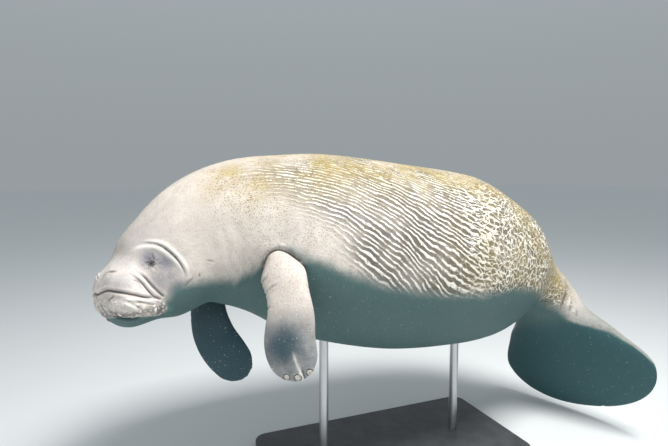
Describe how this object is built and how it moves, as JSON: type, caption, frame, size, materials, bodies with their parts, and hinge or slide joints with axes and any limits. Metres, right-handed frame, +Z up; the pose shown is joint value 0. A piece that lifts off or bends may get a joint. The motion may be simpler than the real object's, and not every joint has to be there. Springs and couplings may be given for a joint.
{
  "type": "manatee model",
  "caption": "Life-size still model of a swimming Florida manatee, back arched and tail paddle bent down, held on a plain base by rods.",
  "frame": {"origin": "on the floor under the middle of the model's bounding box", "axes": "+Z up, -X where the head points, -Y the animal's left side, which is rolled up"},
  "size_m": [2.4944, 0.9204, 1.4312],
  "materials": {
    "skin": "matt grey-beige skin, finely wrinkled, with a yellow-green film of algae on the back",
    "eye": "wet dark eye",
    "nail": "pale horn",
    "stand_paint": "satin charcoal paint",
    "rod_steel": "brushed"
  },
  "bodies": {
    "root": {"muzzle": "skin", "jaw": "skin", "head": "skin", "neck": "skin", "chest": "skin", "belly": "skin", "loin": "skin", "tail_stock": "skin", "tail_paddle": "skin", "flipper_left": "skin", "flipper_right": "skin", "eyelid_upper_left": "skin", "eyelid_lower_left": "skin", "eyelid_upper_right": "skin", "eyelid_lower_right": "skin", "eye_left": "eye", "eye_right": "eye", "nail_left_1": "nail", "nail_left_2": "nail", "nail_left_3": "nail", "nail_right_1": "nail", "nail_right_2": "nail", "nail_right_3": "nail", "stand_base": "stand_paint", "stand_rod_front": "rod_steel", "stand_rod_rear": "rod_steel"}
  },
  "joints": []
}
